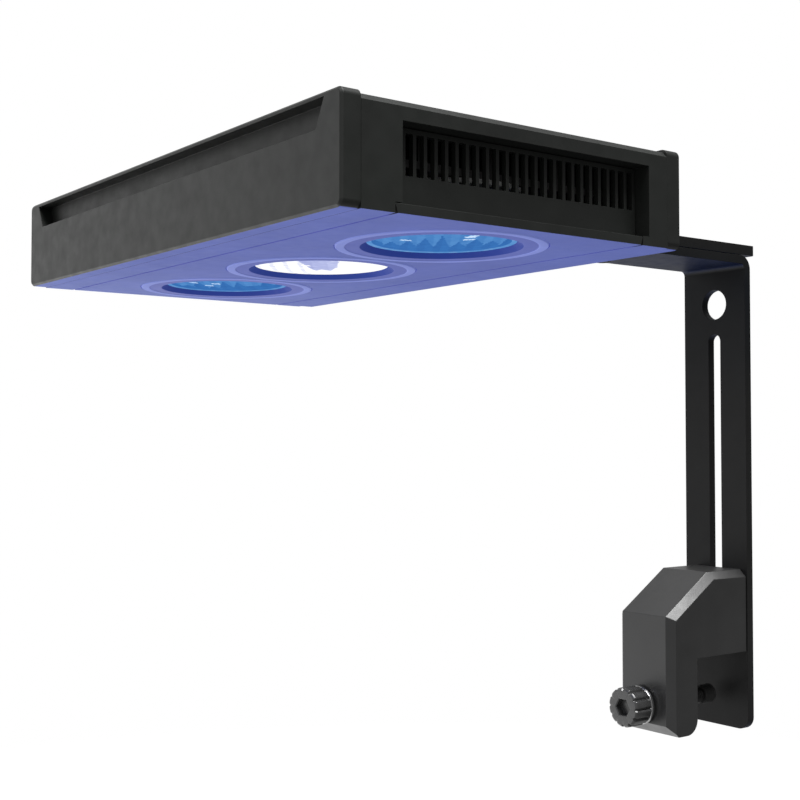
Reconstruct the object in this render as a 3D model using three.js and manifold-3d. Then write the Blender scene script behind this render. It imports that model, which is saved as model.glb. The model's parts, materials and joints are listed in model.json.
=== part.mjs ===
// LED aquarium light: a flat lamp head with three lens clusters, held over the water by a slotted
// bent arm and a screw clamp that hooks over the tank's wall.
//
// Millimetres, +Z up. The origin is the middle of the clamp face that sits on the tank's rim.
// +X points out of the tank, so the head hangs towards -X; Y runs along the head's long side.

import * as THREE from "three";
import { mergeVertices } from "three/addons/utils/BufferGeometryUtils.js";
import Module from "manifold-3d";

const wasm = await Module();
wasm.setup();

// ---------------------------------------------------------------- driving dimensions

const GAP = 0.3; // left between pieces that rest on each other

const HEAD_DEPTH = 144; // along X
const HEAD_LENGTH = 240; // along Y
const HEAD_HEIGHT = 34; // bottom plate to top of the shell
const HEAD_FRONT_X = -288; // front face, seen from the origin
const HEAD_BOTTOM_Z = 168.5;

const END_PLATE = 7; // thickness of the front and rear end plates
const END_PLATE_HEIGHT = 35; // they stand 1 mm proud of the shell
const SHELL_WALL = 3;
const TOP_WALL = 3.5;

const SEAM_FRONT = 19.3; // where the lens plate starts, from the front face
const SEAM_REAR = 124.7;
const LENS_PLATE = 3;
const RECESS_FRONT = 22; // vent recess in the two short sides
const RECESS_REAR = 127.8;
const RECESS_TOP = 27.8;
const RECESS_DEPTH = 6;

const LENS_PITCH = 75.5;
const TRIM_RADIUS = 37;
const TRIM_PROUD = 0.6; // how far the trim rings stand below the lens plate
const CONE_RADIUS = 29; // where the trim ring's flat face turns up into the cone
const APERTURE_RADIUS = 26;
const LENS_Z = 2.1; // lower rim of the cover lens
const LENS_RADIUS = 33.5;
const LENS_THICK = 1.7;
const LENS_DOME = 1.6;
const REFLECTOR_Z = LENS_Z + LENS_THICK + GAP;
const REFLECTOR_HEIGHT = 12.4;
const BOARD_Z = REFLECTOR_Z + REFLECTOR_HEIGHT + GAP;
const BOARD = 1.6;
const SINK_Z = BOARD_Z + BOARD + GAP;
const SINK_BASE = 2.5;
const FAN_SIZE = 60;
const FAN_Z = SINK_Z + SINK_BASE + GAP;
const FAN_TOP = HEAD_HEIGHT - TOP_WALL - GAP;

const ARM_WIDTH = 38;
const ARM_FRONT_X = 18; // face of the drop arm that the glass is pressed against
const ARM_PLATE = 4.2; // thickness of the bent drop arm
const ARM_BOTTOM_Z = -38; // level with the clamp's leg, with the head at its highest
const BEND_RADIUS = 2.5; // inside of the bend
const EXTENSION_PLATE = 4.9;
const EXTENSION_END_X = 25.5;
const EXTENSION_TOP_Z = 197.6;
const EXTENSION_BOTTOM_Z = EXTENSION_TOP_Z - EXTENSION_PLATE;
const LEG_TOP_Z = EXTENSION_BOTTOM_Z - GAP; // top of the drop arm's horizontal leg
const SLOT_WIDTH = 7.2;
const SLOT_TOP_Z = 155;
const SLOT_BOTTOM_Z = 2;
const HOLE_RADIUS = 7.4;
const HOLE_Z = 169.8;

const JAW_GAP = 36; // from the clamp leg to the drop arm
const LEG_THICK = 18;
const CLAMP_Y = [-18.5, 15.5];
const CLAMP_TOP_Z = 39.5;
const CLAMP_BOTTOM_Z = -35;
const CLAMP_CHAMFER = 3.5;
const SCREW_Z = -22;
const SCREW_RADIUS = 4;
const LOCK_Z = 12;

// ---------------------------------------------------------------- joining and cutting

// A closed three.js geometry as a solid that can be joined and cut.
function solid(geometry) {
  const bare = geometry.index ? geometry.toNonIndexed() : geometry.clone();
  bare.deleteAttribute("normal");
  bare.deleteAttribute("uv");
  const merged = mergeVertices(bare, 1e-4);
  return new wasm.Manifold(
    new wasm.Mesh({
      numProp: 3,
      vertProperties: new Float32Array(merged.attributes.position.array),
      triVerts: new Uint32Array(merged.index.array),
    }),
  );
}

function geometryOf(manifold) {
  const mesh = manifold.getMesh();
  const geometry = new THREE.BufferGeometry();
  geometry.setAttribute("position", new THREE.BufferAttribute(mesh.vertProperties, 3));
  geometry.setIndex(new THREE.BufferAttribute(mesh.triVerts, 1));
  const flat = geometry.toNonIndexed();
  flat.computeVertexNormals();
  return flat;
}

const cut = (body, ...tools) => tools.reduce((rest, tool) => rest.subtract(tool), body);
const join = (body, ...more) => more.reduce((sum, next) => sum.add(next), body);

// ---------------------------------------------------------------- basic solids

// A box from its low and high limits along each axis.
function box([x0, x1], [y0, y1], [z0, z1]) {
  const geometry = new THREE.BoxGeometry(x1 - x0, y1 - y0, z1 - z0);
  geometry.translate((x0 + x1) / 2, (y0 + y1) / 2, (z0 + z1) / 2);
  return solid(geometry);
}

// Turns a geometry made along +Z so that it runs along another axis. The outline's own x and y
// become y and z when it runs along X, and x and z when it runs along Y.
const TURN = {
  x: new THREE.Matrix4().makeBasis(
    new THREE.Vector3(0, 1, 0),
    new THREE.Vector3(0, 0, 1),
    new THREE.Vector3(1, 0, 0),
  ),
  y: new THREE.Matrix4().makeBasis(
    new THREE.Vector3(1, 0, 0),
    new THREE.Vector3(0, 0, 1),
    new THREE.Vector3(0, -1, 0),
  ),
  z: new THREE.Matrix4(),
};

// A flat outline extruded along an axis between two limits.
function prism(shape, axis, [from, to], curveSegments = 6) {
  const geometry = new THREE.ExtrudeGeometry(shape, {
    depth: to - from,
    bevelEnabled: false,
    curveSegments,
  });
  geometry.translate(0, 0, axis === "y" ? -to : from);
  geometry.applyMatrix4(TURN[axis]);
  return solid(geometry);
}

// A round rod along an axis, centred on the point [a, b] across it.
function rod(axis, radius, [from, to], [a, b], sides = 24) {
  const shape = new THREE.Shape();
  for (let i = 0; i < sides; i += 1) {
    const angle = (2 * Math.PI * (i + 0.5)) / sides;
    const x = a + radius * Math.cos(angle);
    const y = b + radius * Math.sin(angle);
    if (i === 0) shape.moveTo(x, y);
    else shape.lineTo(x, y);
  }
  return prism(shape, axis, [from, to]);
}

// A turned solid about Z: its half section is a closed list of [radius, z] points, given
// with the section on the left of the path, so that its faces point out.
function turned(points, sides = 32) {
  const section = [...points, points[0]].map(([r, z]) => new THREE.Vector2(r, z));
  const geometry = new THREE.LatheGeometry(section, sides);
  geometry.rotateX(Math.PI / 2);
  return solid(geometry);
}

function polygon(points) {
  return new THREE.Shape(points.map(([x, y]) => new THREE.Vector2(x, y)));
}

function roundedRectangle([x0, x1], [y0, y1], r) {
  const shape = new THREE.Shape();
  shape.moveTo(x0 + r, y0);
  shape.lineTo(x1 - r, y0);
  shape.absarc(x1 - r, y0 + r, r, -Math.PI / 2, 0);
  shape.lineTo(x1, y1 - r);
  shape.absarc(x1 - r, y1 - r, r, 0, Math.PI / 2);
  shape.lineTo(x0 + r, y1);
  shape.absarc(x0 + r, y1 - r, r, Math.PI / 2, Math.PI);
  shape.lineTo(x0, y0 + r);
  shape.absarc(x0 + r, y0 + r, r, Math.PI, 1.5 * Math.PI);
  return shape;
}

// ---------------------------------------------------------------- materials

const FINISH = {
  coatedMetal: { color: 0x2b2c2d, roughness: 0.6, metalness: 0.3 },
  bareMetal: { color: 0xb4b6b8, roughness: 0.35, metalness: 0.9 },
  lensPlate: { color: 0x3a3f78, roughness: 0.45, metalness: 0.0 },
  trim: { color: 0x2a3c96, roughness: 0.35, metalness: 0.0 },
  clear: { color: 0x8fd0ff, roughness: 0.08, metalness: 0.0 },
  mirror: { color: 0xd8e4f4, roughness: 0.12, metalness: 1.0 },
  board: { color: 0xe8ebe6, roughness: 0.5, metalness: 0.0 },
  circuit: { color: 0x1d5b33, roughness: 0.55, metalness: 0.0 },
  plastic: { color: 0x18191a, roughness: 0.45, metalness: 0.0 },
  screwSteel: { color: 0x38393b, roughness: 0.3, metalness: 0.8 },
  rubber: { color: 0x101011, roughness: 0.8, metalness: 0.0 },
};

function piece(name, manifold, finish) {
  const mesh = new THREE.Mesh(
    geometryOf(manifold),
    new THREE.MeshStandardMaterial({ ...FINISH[finish], name: finish }),
  );
  mesh.name = name;
  return mesh;
}

// ---------------------------------------------------------------- lamp head
// In the head's own frame: X 0 to 144 from the front face, Y 0 to 240, Z 0 at the bottom plate.

const MID_X = (SEAM_FRONT + SEAM_REAR) / 2;
const MID_Y = HEAD_LENGTH / 2;
const INNER_X = [END_PLATE + GAP + SHELL_WALL, HEAD_DEPTH - END_PLATE - GAP - SHELL_WALL];
const lensCentres = [-1, 0, 1].map((side) => [MID_X, MID_Y + side * LENS_PITCH]);

// The short side's recess, its vent panel's pocket and the window behind it, mirrored to
// either end of the shell.
const PANEL_THICK = 2.2;
const POCKET_DEPTH = RECESS_DEPTH + PANEL_THICK + 2 * GAP;
function ventOpening(atFarEnd) {
  const along = (from, to) => (atFarEnd ? [HEAD_LENGTH - to, HEAD_LENGTH - from] : [from, to]);
  const low = LENS_PLATE + GAP;
  return [
    box([RECESS_FRONT, RECESS_REAR], along(-1, POCKET_DEPTH), [low, RECESS_TOP]),
    box([RECESS_FRONT + 3, RECESS_REAR - 3], along(RECESS_DEPTH, 14), [9, RECESS_TOP - 1.5]),
  ];
}

// Power inlet, on the rear side next to the mounting block.
const INLET_Y = 218;
const INLET_Z = 12;
const INLET_RADIUS = 6;

function housingShell() {
  const top = HEAD_HEIGHT;
  const bevel = 2;
  const endView = polygon([
    [0, 0],
    [HEAD_LENGTH, 0],
    [HEAD_LENGTH, top - bevel],
    [HEAD_LENGTH - bevel, top],
    [bevel, top],
    [0, top - bevel],
  ]);
  const outer = prism(endView, "x", [END_PLATE + GAP, HEAD_DEPTH - END_PLATE - GAP]);
  const inside = [10.2, HEAD_LENGTH - 10.2];
  return cut(
    outer,
    box(INNER_X, inside, [LENS_PLATE, top - TOP_WALL]),
    box([SEAM_FRONT, SEAM_REAR], [-1, HEAD_LENGTH + 1], [-1, LENS_PLATE + GAP]),
    ...ventOpening(false),
    ...ventOpening(true),
    rod("x", INLET_RADIUS + GAP, [INNER_X[1] - 1, HEAD_DEPTH], [INLET_Y, INLET_Z]),
    ...fanVents(),
  );
}

// Straight air slots in the top of the shell, over the fan, that together fill a circle.
function fanVents() {
  const count = 9;
  const pitch = 5.8;
  const reach = FAN_SIZE / 2 - 2;
  const slots = [];
  for (let i = 0; i < count; i += 1) {
    const across = (i - (count - 1) / 2) * pitch;
    const half = Math.sqrt(reach ** 2 - across ** 2);
    const outline = roundedRectangle(
      [MID_X - half, MID_X + half],
      [MID_Y + across - 1.4, MID_Y + across + 1.4],
      1.39,
    );
    slots.push(prism(outline, "z", [HEAD_HEIGHT - TOP_WALL - 1, HEAD_HEIGHT + 1], 2));
  }
  return slots;
}

// End plate on the head's front face: a rectangle with rounded corners, chamfered all round
// its outer side.
function endPlate() {
  const corner = 2.5;
  const chamfer = 0.8;
  const outline = roundedRectangle([0, HEAD_LENGTH], [0, END_PLATE_HEIGHT], corner);
  const geometry = new THREE.ExtrudeGeometry(outline, {
    depth: END_PLATE - 2 * chamfer,
    bevelThickness: chamfer,
    bevelSize: chamfer,
    bevelOffset: -chamfer,
    bevelSegments: 1,
    curveSegments: 4,
  });
  geometry.translate(0, 0, chamfer);
  geometry.applyMatrix4(TURN.x);
  const inner = prism(outline, "x", [END_PLATE / 2, END_PLATE], 4);
  return join(solid(geometry), inner);
}

// The front plate has a long grip recess under its top edge, with slanted ends.
function frontEndPlate() {
  const groove = polygon([
    [13.5, 24.3],
    [HEAD_LENGTH - 13.5, 24.3],
    [HEAD_LENGTH - 9, 33.4],
    [9, 33.4],
  ]);
  return cut(endPlate(), prism(groove, "x", [-1, 5.5]));
}

// The rear plate is the same plate turned round, with holes for the power inlet and for
// the mounting block's screws.
const BLOCK_SCREWS = [
  [MID_Y - 24, 9.5],
  [MID_Y + 24, 9.5],
  [MID_Y - 24, 21.5],
  [MID_Y + 24, 21.5],
];
const BLOCK_SCREW_RADIUS = 2;
function rearEndPlate() {
  const plate = endPlate();
  const turn = new THREE.Matrix4().makeRotationZ(Math.PI);
  turn.setPosition(HEAD_DEPTH, HEAD_LENGTH, 0);
  const turnedPlate = solid(geometryOf(plate).applyMatrix4(turn));
  return cut(
    turnedPlate,
    rod("x", INLET_RADIUS + GAP, [HEAD_DEPTH - 10, HEAD_DEPTH + 1], [INLET_Y, INLET_Z]),
    ...BLOCK_SCREWS.map((at) =>
      rod("x", BLOCK_SCREW_RADIUS + GAP, [HEAD_DEPTH - 5.5, HEAD_DEPTH + 1], at, 12),
    ),
  );
}

const VENT_SLOTS = 25;
const VENT_RIB = 1.3;
const VENT_SLOT_Z = [13, 26];
function ventPanel(atFarEnd) {
  const near = RECESS_DEPTH + GAP;
  const span = atFarEnd
    ? [HEAD_LENGTH - near - PANEL_THICK, HEAD_LENGTH - near]
    : [near, near + PANEL_THICK];
  const [x0, x1] = [RECESS_FRONT + GAP, RECESS_REAR - GAP];
  const pitch = (x1 - x0 - VENT_RIB) / VENT_SLOTS;
  const slots = [];
  for (let i = 0; i < VENT_SLOTS; i += 1) {
    const left = x0 + VENT_RIB + i * pitch;
    slots.push(box([left, left + pitch - VENT_RIB], [span[0] - 1, span[1] + 1], VENT_SLOT_Z));
  }
  return cut(box([x0, x1], span, [LENS_PLATE + 2 * GAP, RECESS_TOP - GAP]), ...slots);
}

function lensPlate() {
  const plate = box(
    [SEAM_FRONT + GAP, SEAM_REAR - GAP],
    [0, HEAD_LENGTH],
    [0, LENS_PLATE],
  );
  const holes = lensCentres.map((at) => rod("z", TRIM_RADIUS + GAP, [-1, LENS_PLATE + 1], at, 40));
  return cut(plate, ...holes);
}

// Trim ring: a flange in the plate's hole and a short cone that leads up to the lens.
function trimRing() {
  const chamfer = 0.8;
  const seat = LENS_RADIUS + 0.5; // the cover lens sits inside this radius
  return turned(
    [
      [CONE_RADIUS, -TRIM_PROUD],
      [TRIM_RADIUS - chamfer, -TRIM_PROUD],
      [TRIM_RADIUS, chamfer - TRIM_PROUD],
      [TRIM_RADIUS, LENS_PLATE],
      [seat, LENS_PLATE],
      [seat, LENS_Z - GAP],
      [APERTURE_RADIUS, LENS_Z - GAP],
    ],
    40,
  );
}

// Clear cover lens: a disc with a low dome on its lower side.
const coverLens = () =>
  turned([
    [0, LENS_Z - LENS_DOME],
    [9, LENS_Z - 0.85 * LENS_DOME],
    [18, LENS_Z - 0.5 * LENS_DOME],
    [APERTURE_RADIUS - 1.5, LENS_Z],
    [LENS_RADIUS, LENS_Z],
    [LENS_RADIUS, LENS_Z + LENS_THICK],
    [0, LENS_Z + LENS_THICK],
  ]);

// Reflector: a faceted bowl, open below, with a hole for the emitters above.
function reflector() {
  const [low, high] = [REFLECTOR_Z, REFLECTOR_Z + REFLECTOR_HEIGHT];
  const [rim, throat, wall] = [31, 13, 1.5];
  return turned(
    [
      [APERTURE_RADIUS, low],
      [rim, low],
      [rim, low + wall],
      [APERTURE_RADIUS + wall, low + wall],
      [throat + 5 * wall, high],
      [throat, high],
      [0.75 * APERTURE_RADIUS, low + REFLECTOR_HEIGHT / 2],
    ],
    16,
  );
}

// LED board: a round board with a ring of square emitters facing down.
const BOARD_RADIUS = 29;
const EMITTER = 3.4;
const EMITTER_RING = 7.5;
function ledBoard() {
  const emitter = ([x, y]) =>
    box(
      [x - EMITTER / 2, x + EMITTER / 2],
      [y - EMITTER / 2, y + EMITTER / 2],
      [BOARD_Z - 1.1, BOARD_Z + 0.2],
    );
  const places = [[0, 0]];
  for (let i = 0; i < 6; i += 1) {
    const angle = (i * Math.PI) / 3;
    places.push([EMITTER_RING * Math.cos(angle), EMITTER_RING * Math.sin(angle)]);
  }
  const board = rod("z", BOARD_RADIUS, [BOARD_Z, BOARD_Z + BOARD], [0, 0], 24);
  return join(board, ...places.map(emitter));
}

// Heat sink: a base plate with long fins, open in the middle for the fan, and four bosses
// that the driver board hangs from.
const DRIVER = { x: [107, 132], y: [34, 206], z: 10 };
function heatSink() {
  const x = [INNER_X[0] + 1.5, INNER_X[1] - 1.5];
  const y = [18, HEAD_LENGTH - 18];
  const sinkTop = SINK_Z + SINK_BASE;
  const fins = [];
  const count = 13;
  for (let i = 0; i < count; i += 1) {
    const left = x[0] + (i * (x[1] - x[0] - 1.6)) / (count - 1);
    fins.push(box([left, left + 1.6], y, [sinkTop - 0.5, FAN_TOP]));
  }
  const fanRoom = box(
    [MID_X - FAN_SIZE / 2 - 1, MID_X + FAN_SIZE / 2 + 1],
    [MID_Y - FAN_SIZE / 2 - 1, MID_Y + FAN_SIZE / 2 + 1],
    [sinkTop, FAN_TOP + 1],
  );
  const bosses = [];
  for (const bx of [DRIVER.x[0] + 4, DRIVER.x[1] - 4]) {
    for (const by of [DRIVER.y[0] + 6, DRIVER.y[1] - 6]) {
      bosses.push(rod("z", 2.5, [DRIVER.z + BOARD + GAP, SINK_Z + 1], [bx, by], 12));
    }
  }
  return join(cut(join(box(x, y, [SINK_Z, sinkTop]), ...fins), fanRoom), ...bosses);
}

function driverBoard() {
  const top = DRIVER.z;
  const parts = [
    box([109, 119], [60, 78], [top - 5.8, top + 0.3]),
    box([110, 124], [92, 110], [top - 4.2, top + 0.3]),
    rod("z", 5, [top - 6, top + 0.3], [125, 130], 16),
    rod("z", 4, [top - 6, top + 0.3], [114, 144], 16),
    box([108, 130], [164, 180], [top - 5, top + 0.3]),
  ];
  return join(box(DRIVER.x, DRIVER.y, [top, top + BOARD]), ...parts);
}

function fanFrame() {
  const half = FAN_SIZE / 2;
  const spokeWidth = 1.6;
  const frame = cut(
    prism(roundedRectangle([-half, half], [-half, half], 4), "z", [FAN_Z, FAN_TOP]),
    rod("z", 28.3, [FAN_Z - 1, FAN_TOP + 1], [0, 0], 32),
  );
  const motorSeat = rod("z", 11, [FAN_Z, FAN_Z + 1.2], [0, 0], 20);
  const spokes = [
    box([-29, 29], [-spokeWidth, spokeWidth], [FAN_Z, FAN_Z + 1.2]),
    box([-spokeWidth, spokeWidth], [-29, 29], [FAN_Z, FAN_Z + 1.2]),
  ];
  const axle = rod("z", 1.5, [FAN_Z + 1, FAN_Z + 5], [0, 0], 12);
  return join(frame, motorSeat, ...spokes, axle);
}

// Fan impeller: a hub cup that turns on the frame's axle, with seven pitched blades.
function fanImpeller() {
  const low = FAN_Z + 1.8;
  const high = FAN_TOP - 0.6;
  const hub = cut(
    rod("z", 12, [low, high], [0, 0], 24),
    rod("z", 1.9, [low - 1, FAN_Z + 5.4], [0, 0], 12),
  );
  const blades = [];
  for (let i = 0; i < 7; i += 1) {
    const blade = new THREE.BoxGeometry(16.5, 1.1, 6.6);
    blade.rotateX(Math.PI / 4);
    blade.translate(19, 0, (low + high) / 2);
    blade.rotateZ((2 * Math.PI * i) / 7);
    blades.push(solid(blade));
  }
  return join(hub, ...blades);
}

// Power inlet: a threaded barrel with a flange outside and a socket with a centre pin.
function powerInlet() {
  const outside = HEAD_DEPTH + GAP;
  const barrel = turned(
    [
      [0, HEAD_DEPTH - 14],
      [INLET_RADIUS, HEAD_DEPTH - 14],
      [INLET_RADIUS, outside],
      [8, outside],
      [8, outside + 2],
      [2.8, outside + 2],
      [2.8, outside - 8],
      [1, outside - 8],
      [1, outside + 0.5],
      [0, outside + 0.5],
    ],
    24,
  );
  const place = new THREE.Matrix4().makeRotationY(Math.PI / 2);
  place.setPosition(0, INLET_Y, INLET_Z);
  return solid(geometryOf(barrel).applyMatrix4(place));
}

// ---------------------------------------------------------------- screws and nuts

// A cap screw along +Z: its head stands on the plane z = 0 and its shank goes down.
function capScrew(radius, length, headRadius, headHeight) {
  const socket = rod("z", headRadius * 0.5, [headHeight * 0.45, headHeight + 1], [0, 0], 6);
  const head = rod("z", headRadius, [0, headHeight], [0, 0], 20);
  return join(cut(head, socket), rod("z", radius, [-length, 0.2], [0, 0], 12));
}

// ---------------------------------------------------------------- mounting block and arm
// From here on in the object's own frame.

const HEAD_REAR_X = HEAD_FRONT_X + HEAD_DEPTH;
const FLANGE = 5;
const BLOCK_X = [HEAD_REAR_X + GAP, HEAD_REAR_X + GAP + FLANGE];
const SHELF_END_X = HEAD_REAR_X + 46;
const ARM_SCREW_XS = [HEAD_REAR_X + 16, HEAD_REAR_X + 36];
const ARM_SCREW_RADIUS = 2.5;

// Mounting block: a flange on the head's rear plate and a shelf that the arm is screwed to.
function mountingBlock() {
  const flange = prism(
    roundedRectangle([-30, 30], [HEAD_BOTTOM_Z + 4.5, HEAD_BOTTOM_Z + 26.5], 3),
    "x",
    BLOCK_X,
  );
  const shelf = box([BLOCK_X[1] - 1, SHELF_END_X], [-18, 18], [LEG_TOP_Z - 6, LEG_TOP_Z]);
  const web = polygon([
    [BLOCK_X[1] - 1, HEAD_BOTTOM_Z + 6],
    [SHELF_END_X - 8, LEG_TOP_Z - 5.5],
    [BLOCK_X[1] - 1, LEG_TOP_Z - 5.5],
  ]);
  const ribs = [-15, 11].map((y) => prism(web, "y", [y, y + 4]));
  const through = [BLOCK_X[0] - 1, BLOCK_X[1] + 1];
  const flangeHoles = BLOCK_SCREWS.map(([y, z]) =>
    rod("x", BLOCK_SCREW_RADIUS + GAP, through, [y - MID_Y, z + HEAD_BOTTOM_Z], 12),
  );
  const shelfHoles = ARM_SCREW_XS.map((x) =>
    rod("z", ARM_SCREW_RADIUS + GAP, [LEG_TOP_Z - 8, LEG_TOP_Z + 1], [x, 0], 12),
  );
  return cut(join(flange, shelf, ...ribs), ...flangeHoles, ...shelfHoles);
}

const LEG_START_X = -88; // free end of the drop arm's horizontal leg
const JOINT_SCREW_XS = [-78, -60];

// Extension arm: the flat plate that reaches from the mounting block out over the tank's rim.
function extensionArm() {
  const plan = roundedRectangle(
    [BLOCK_X[1] + GAP, EXTENSION_END_X],
    [-ARM_WIDTH / 2, ARM_WIDTH / 2],
    1.2,
  );
  const holes = [...ARM_SCREW_XS, ...JOINT_SCREW_XS].map((x) =>
    rod("z", ARM_SCREW_RADIUS + GAP, [EXTENSION_BOTTOM_Z - 1, EXTENSION_TOP_Z + 1], [x, 0], 12),
  );
  return cut(prism(plan, "z", [EXTENSION_BOTTOM_Z, EXTENSION_TOP_Z]), ...holes);
}

// Drop arm: one plate bent to an L. Its upright leg has a round hole and a long slot.
function dropArm() {
  const back = ARM_FRONT_X + ARM_PLATE;
  const outerBend = BEND_RADIUS + ARM_PLATE;
  const under = LEG_TOP_Z - ARM_PLATE;
  const sideView = new THREE.Shape();
  sideView.moveTo(LEG_START_X, under);
  sideView.lineTo(ARM_FRONT_X - BEND_RADIUS, under);
  sideView.absarc(ARM_FRONT_X - BEND_RADIUS, under - BEND_RADIUS, BEND_RADIUS, Math.PI / 2, 0, true);
  sideView.lineTo(ARM_FRONT_X, ARM_BOTTOM_Z);
  sideView.lineTo(back, ARM_BOTTOM_Z);
  sideView.lineTo(back, LEG_TOP_Z - outerBend);
  sideView.absarc(back - outerBend, LEG_TOP_Z - outerBend, outerBend, 0, Math.PI / 2);
  sideView.lineTo(LEG_START_X, LEG_TOP_Z);
  const bent = prism(sideView, "y", [-ARM_WIDTH / 2, ARM_WIDTH / 2], 8);
  const frontView = roundedRectangle(
    [-ARM_WIDTH / 2, ARM_WIDTH / 2],
    [ARM_BOTTOM_Z, LEG_TOP_Z + 20],
    6,
  );
  const topView = roundedRectangle(
    [LEG_START_X, back + 20],
    [-ARM_WIDTH / 2, ARM_WIDTH / 2],
    3,
  );
  const through = [ARM_FRONT_X - 1, back + 1];
  const slot = roundedRectangle(
    [-SLOT_WIDTH / 2, SLOT_WIDTH / 2],
    [SLOT_BOTTOM_Z, SLOT_TOP_Z],
    SLOT_WIDTH / 2 - 0.01,
  );
  const jointHoles = JOINT_SCREW_XS.map((x) =>
    rod("z", ARM_SCREW_RADIUS + GAP, [under - 1, LEG_TOP_Z + 1], [x, 0], 12),
  );
  return cut(
    bent
      .intersect(prism(frontView, "x", [LEG_START_X - 1, back + 1]))
      .intersect(prism(topView, "z", [ARM_BOTTOM_Z - 1, LEG_TOP_Z + 1])),
    prism(slot, "x", through, 5),
    rod("x", HOLE_RADIUS, through, [0, HOLE_Z], 28),
    ...jointHoles,
  );
}

function armNut() {
  const top = LEG_TOP_Z - ARM_PLATE - GAP;
  return cut(
    rod("z", 4.4, [top - 3.2, top], [0, 0], 6),
    rod("z", ARM_SCREW_RADIUS + GAP, [top - 5, top + 1], [0, 0], 12),
  );
}

// ---------------------------------------------------------------- clamp

const LEG_INNER_X = -JAW_GAP / 2;
const LEG_FRONT_X = LEG_INNER_X - LEG_THICK;
const CLAMP_BACK_X = ARM_FRONT_X - GAP;
const SLANT_BOTTOM_Z = 20.5;
const SLANT_TOP_X = -7;
const STUD_RADIUS = 3;
const STUD_START_X = 6;
const KEY_Z = [22, 33]; // the guide key that runs in the arm's slot
const KEY_WIDTH = SLOT_WIDTH - 2 * GAP;
const KEY_FRONT_X = 12;

// The clamp's outline from the side: a leg with the screw, and a bridge over the tank's rim.
function clampSide() {
  const corner = 7;
  const foot = 5;
  const shape = new THREE.Shape();
  shape.moveTo(LEG_FRONT_X, CLAMP_BOTTOM_Z + foot);
  shape.lineTo(LEG_FRONT_X + foot, CLAMP_BOTTOM_Z);
  shape.lineTo(LEG_INNER_X - corner, CLAMP_BOTTOM_Z);
  shape.absarc(LEG_INNER_X - corner, CLAMP_BOTTOM_Z + corner, corner, -Math.PI / 2, 0);
  shape.lineTo(LEG_INNER_X, 0);
  shape.lineTo(CLAMP_BACK_X, 0);
  shape.lineTo(CLAMP_BACK_X, CLAMP_TOP_Z);
  shape.lineTo(SLANT_TOP_X, CLAMP_TOP_Z);
  shape.lineTo(LEG_FRONT_X, SLANT_BOTTOM_Z);
  return shape;
}

// The block that the clamp is milled from: chamfered along both sides of its front, slant
// and top, and running past the clamp's back and bottom.
function chamferedBlank() {
  const past = 20;
  const outline = polygon([
    [LEG_FRONT_X, CLAMP_BOTTOM_Z - past],
    [CLAMP_BACK_X + past, CLAMP_BOTTOM_Z - past],
    [CLAMP_BACK_X + past, CLAMP_TOP_Z],
    [SLANT_TOP_X, CLAMP_TOP_Z],
    [LEG_FRONT_X, SLANT_BOTTOM_Z],
  ]);
  const geometry = new THREE.ExtrudeGeometry(outline, {
    depth: CLAMP_Y[1] - CLAMP_Y[0] - 2 * CLAMP_CHAMFER,
    bevelThickness: CLAMP_CHAMFER,
    bevelSize: CLAMP_CHAMFER,
    bevelOffset: -CLAMP_CHAMFER,
    bevelSegments: 1,
  });
  geometry.translate(0, 0, CLAMP_CHAMFER - CLAMP_Y[1]);
  geometry.applyMatrix4(TURN.y);
  return solid(geometry);
}

function clampBody() {
  const keySide = KEY_WIDTH / 2 + GAP;
  return cut(
    prism(clampSide(), "y", CLAMP_Y).intersect(chamferedBlank()),
    rod("x", SCREW_RADIUS + GAP, [LEG_FRONT_X - 1, LEG_INNER_X + 1], [0, SCREW_Z]),
    rod("x", STUD_RADIUS + GAP, [STUD_START_X - GAP, CLAMP_BACK_X + 1], [0, LOCK_Z], 16),
    box(
      [KEY_FRONT_X - GAP, CLAMP_BACK_X + 1],
      [-keySide, keySide],
      [KEY_Z[0] - GAP, KEY_Z[1] + GAP],
    ),
  );
}

// ---------------------------------------------------------------- clamp screw

const SCREW_TIP_X = 4;
const PAD_TIP_X = 11.8;
const PAD_RADIUS = 4.7;
const PIN_RADIUS = 2.4; // the turned-down tip that the pad swivels on
const PIN_LENGTH = 5;
const KNOB_X = [-49, -37];
const KNOB_RADIUS = 9.3;

// A knob's outline round the height z, with round flutes between its grip ribs.
function flutedOutline(z, radius, flutes, depth) {
  const shape = new THREE.Shape();
  const steps = 6;
  for (let i = 0; i < flutes * steps; i += 1) {
    const angle = (2 * Math.PI * i) / (flutes * steps);
    const wave = Math.max(0, Math.cos((2 * Math.PI * i) / steps));
    const r = radius - depth * wave;
    if (i === 0) shape.moveTo(r * Math.cos(angle), r * Math.sin(angle) + z);
    else shape.lineTo(r * Math.cos(angle), r * Math.sin(angle) + z);
  }
  return shape;
}

function screwKnob() {
  return cut(
    prism(flutedOutline(SCREW_Z, KNOB_RADIUS, 12, 1.1), "x", KNOB_X),
    rod("x", 4.1, [KNOB_X[0] - 1, KNOB_X[0] + 3.5], [0, SCREW_Z], 6),
    rod("x", SCREW_RADIUS + GAP, [KNOB_X[1] - 5, KNOB_X[1] + 1], [0, SCREW_Z]),
  );
}

function clampScrew() {
  return join(
    rod("x", SCREW_RADIUS, [KNOB_X[1] - 5 + GAP, SCREW_TIP_X], [0, SCREW_Z]),
    rod("x", PIN_RADIUS, [SCREW_TIP_X - 1, SCREW_TIP_X + PIN_LENGTH], [0, SCREW_Z], 16),
  );
}

function swivelPad() {
  return cut(
    rod("x", PAD_RADIUS, [SCREW_TIP_X + GAP, PAD_TIP_X], [0, SCREW_Z]),
    rod("x", PIN_RADIUS + GAP, [SCREW_TIP_X, SCREW_TIP_X + PIN_LENGTH + GAP], [0, SCREW_Z], 16),
  );
}

// ---------------------------------------------------------------- height lock

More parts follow.
